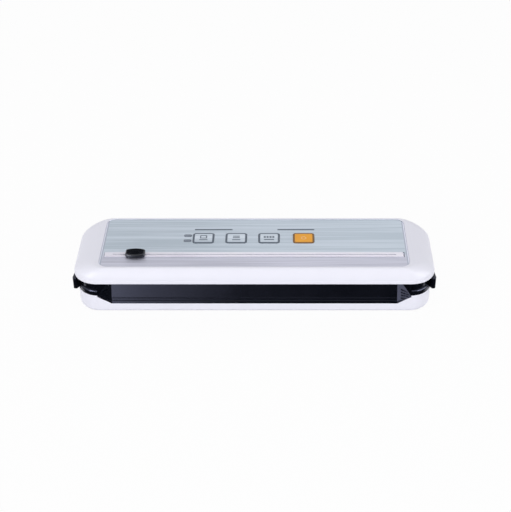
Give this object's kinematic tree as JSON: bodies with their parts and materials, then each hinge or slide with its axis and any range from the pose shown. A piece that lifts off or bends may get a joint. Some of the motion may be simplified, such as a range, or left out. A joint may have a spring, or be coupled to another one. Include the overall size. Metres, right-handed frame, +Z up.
{
  "type": "vacuum sealer",
  "caption": "Countertop vacuum sealer: white base and hinged lid with brushed panel, keys and sliding bag cutter, over a black deck with vacuum trough and heated sealing bar.",
  "frame": {"origin": "middle of the footprint, on the surface that the feet stand on", "axes": "+X along the machine to the user's right, -Y towards the user, +Z up"},
  "size_m": [0.3672, 0.1, 0.0584],
  "materials": {
    "white_plastic": "injection-moulded, soft gloss",
    "black_plastic": "injection-moulded, satin",
    "brushed_panel": "brushed along the machine, clear lacquer",
    "key_silver": "silver film over plastic",
    "key_orange": "orange film over plastic",
    "rail_plastic": "extruded, glossy",
    "knob_black": "polished",
    "blade_steel": "ground",
    "window_clear": "clear light pipe",
    "bar_plastic": "heat-resistant moulding",
    "heater_steel": "rolled ribbon",
    "tape_cloth": "coated glass cloth",
    "gasket_foam": "closed-cell foam",
    "strip_silicone": "moulded silicone",
    "hose_silicone": "extruded silicone",
    "bare_steel": "zinc-plated",
    "core_iron": "stacked laminations, varnished",
    "coil_copper": "enamelled copper winding under tape",
    "board_green": "circuit board",
    "component_blue": "moulded case",
    "component_black": "moulded case",
    "pin_brass": "turned",
    "foot_rubber": "moulded, matt"
  },
  "bodies": {
    "base": {"base_shell": "white_plastic", "deck": "black_plastic", "sealing_bar": "bar_plastic", "heating_strip": "heater_steel", "nonstick_tape": "tape_cloth", "lower_gasket": "gasket_foam", "air_nipple": "black_plastic", "air_hose": "hose_silicone", "pump_motor": "bare_steel", "pump_head": "black_plastic", "motor_clamp": "bare_steel", "transformer_core": "core_iron", "transformer_coil": "coil_copper", "power_board": "board_green", "board_relay": "component_blue", "board_capacitor": "component_black", "terminal_block": "component_blue", "mains_inlet": "black_plastic", "inlet_pins": "pin_brass", "hinge_pins": "bare_steel", "rubber_feet": "foot_rubber", "base_screws": "bare_steel", "latch_spring_right": "bare_steel", "latch_spring_left": "bare_steel"},
    "lid": {"lid_shell": "white_plastic", "brushed_panel": "brushed_panel", "lid_liner": "black_plastic", "liner_screws": "bare_steel", "upper_gasket": "gasket_foam", "press_strip": "strip_silicone", "control_board": "board_green", "tact_switches": "component_black", "indicator_windows": "window_clear", "rail_pin": "bare_steel"},
    "cutter_rail": {"cutter_rail": "rail_plastic"},
    "cutter_slider": {"cutter_knob": "knob_black", "cutter_blade": "blade_steel"},
    "key_vacuum": {"key_vacuum": "key_silver"},
    "key_seal": {"key_seal": "key_silver"},
    "key_mode": {"key_mode": "key_silver"},
    "key_start": {"key_start": "key_orange"},
    "latch_right": {"latch_right": "black_plastic"},
    "latch_left": {"latch_left": "black_plastic"}
  },
  "joints": [
    {"name": "lid_hinge", "type": "hinge", "parent": "base", "child": "lid", "pos_m": [0, 0.045, 0.036], "axis": [-1, 0, 0], "range_deg": [0, 75]},
    {"name": "cutter_rail_lift", "type": "hinge", "parent": "lid", "child": "cutter_rail", "pos_m": [0.149, -0.0204, 0.053], "axis": [0, 1, 0], "range_deg": [0, 30]},
    {"name": "cutter_slide", "type": "slide", "parent": "cutter_rail", "child": "cutter_slider", "axis": [1, 0, 0], "range_m": [-0.016, 0.256]},
    {"name": "key_vacuum_press", "type": "slide", "parent": "lid", "child": "key_vacuum", "axis": [0, 0, -1], "range_m": [0, 0.0006], "stiffness_N_per_m": 2500, "springref_m": -0.0003},
    {"name": "key_seal_press", "type": "slide", "parent": "lid", "child": "key_seal", "axis": [0, 0, -1], "range_m": [0, 0.0006], "stiffness_N_per_m": 2500, "springref_m": -0.0003},
    {"name": "key_mode_press", "type": "slide", "parent": "lid", "child": "key_mode", "axis": [0, 0, -1], "range_m": [0, 0.0006], "stiffness_N_per_m": 2500, "springref_m": -0.0003},
    {"name": "key_start_press", "type": "slide", "parent": "lid", "child": "key_start", "axis": [0, 0, -1], "range_m": [0, 0.0006], "stiffness_N_per_m": 2500, "springref_m": -0.0003},
    {"name": "latch_right_press", "type": "slide", "parent": "base", "child": "latch_right", "axis": [-1, 0, 0], "range_m": [0, 0.003], "stiffness_N_per_m": 800, "springref_m": -0.002, "deforming": ["latch_spring_right"]},
    {"name": "latch_left_press", "type": "slide", "parent": "base", "child": "latch_left", "axis": [1, 0, 0], "range_m": [0, 0.003], "stiffness_N_per_m": 800, "springref_m": -0.002, "deforming": ["latch_spring_left"]}
  ]
}
